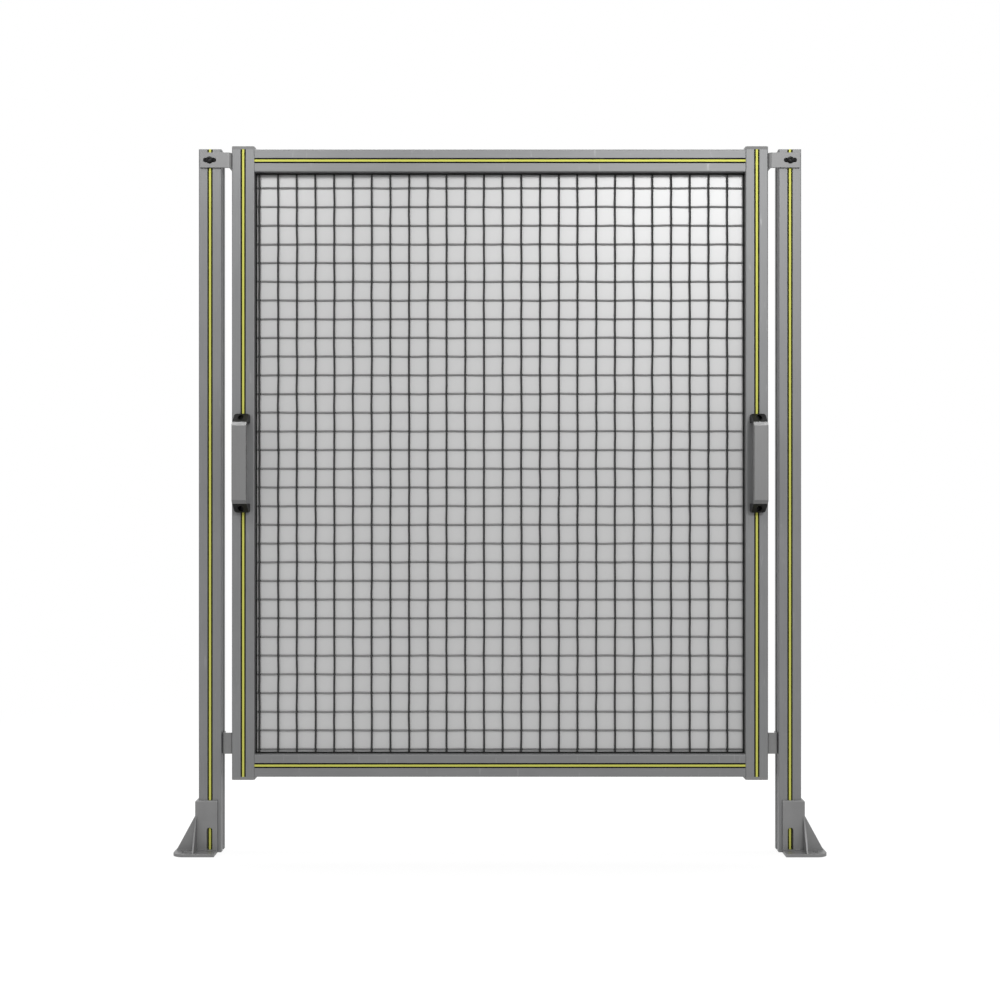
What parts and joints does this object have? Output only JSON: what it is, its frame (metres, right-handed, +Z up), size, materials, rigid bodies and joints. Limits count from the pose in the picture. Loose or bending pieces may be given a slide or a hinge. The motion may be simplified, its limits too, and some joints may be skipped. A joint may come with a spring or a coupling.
{
  "type": "machine guard fence panel",
  "caption": "Framed wire-mesh guard panel hung between two T-slot posts, with bolt-down feet, top brackets, hook brackets and handles.",
  "frame": {"origin": "underside of the left foot bracket, below the corner where its two flanges and two gussets meet", "axes": "+Z up along the posts, +X from the left post to the right one, +Y from the handle side to the back"},
  "size_m": [1.29, 0.1, 1.406],
  "materials": {
    "profile": "natural anodised, satin",
    "cover_strip": "satin yellow crown between black gripping lips",
    "end_cap": "moulded, fine grain",
    "bracket": "die cast, satin",
    "grip": "anodised bar, satin",
    "handle_foot": "moulded black, fine grain",
    "wire": "dark powder coat on welded wire",
    "sheet": "light grey, satin"
  },
  "bodies": {
    "root": {"left_post": "profile", "right_post": "profile", "left_stile": "profile", "right_stile": "profile", "top_rail": "profile", "bottom_rail": "profile", "left_post_strips": "cover_strip", "right_post_strips": "cover_strip", "left_stile_strips": "cover_strip", "right_stile_strips": "cover_strip", "top_rail_strips": "cover_strip", "bottom_rail_strips": "cover_strip", "left_stile_top_cap": "end_cap", "left_stile_bottom_cap": "end_cap", "right_stile_top_cap": "end_cap", "right_stile_bottom_cap": "end_cap", "left_foot_bracket": "bracket", "right_foot_bracket": "bracket", "left_top_bracket": "bracket", "right_top_bracket": "bracket", "left_hook_bracket": "bracket", "right_hook_bracket": "bracket", "left_handle_grip": "grip", "right_handle_grip": "grip", "left_handle_upper_foot": "handle_foot", "left_handle_lower_foot": "handle_foot", "right_handle_upper_foot": "handle_foot", "right_handle_lower_foot": "handle_foot", "upright_wires": "wire", "cross_wires": "wire", "backing_sheet": "sheet"}
  },
  "joints": []
}
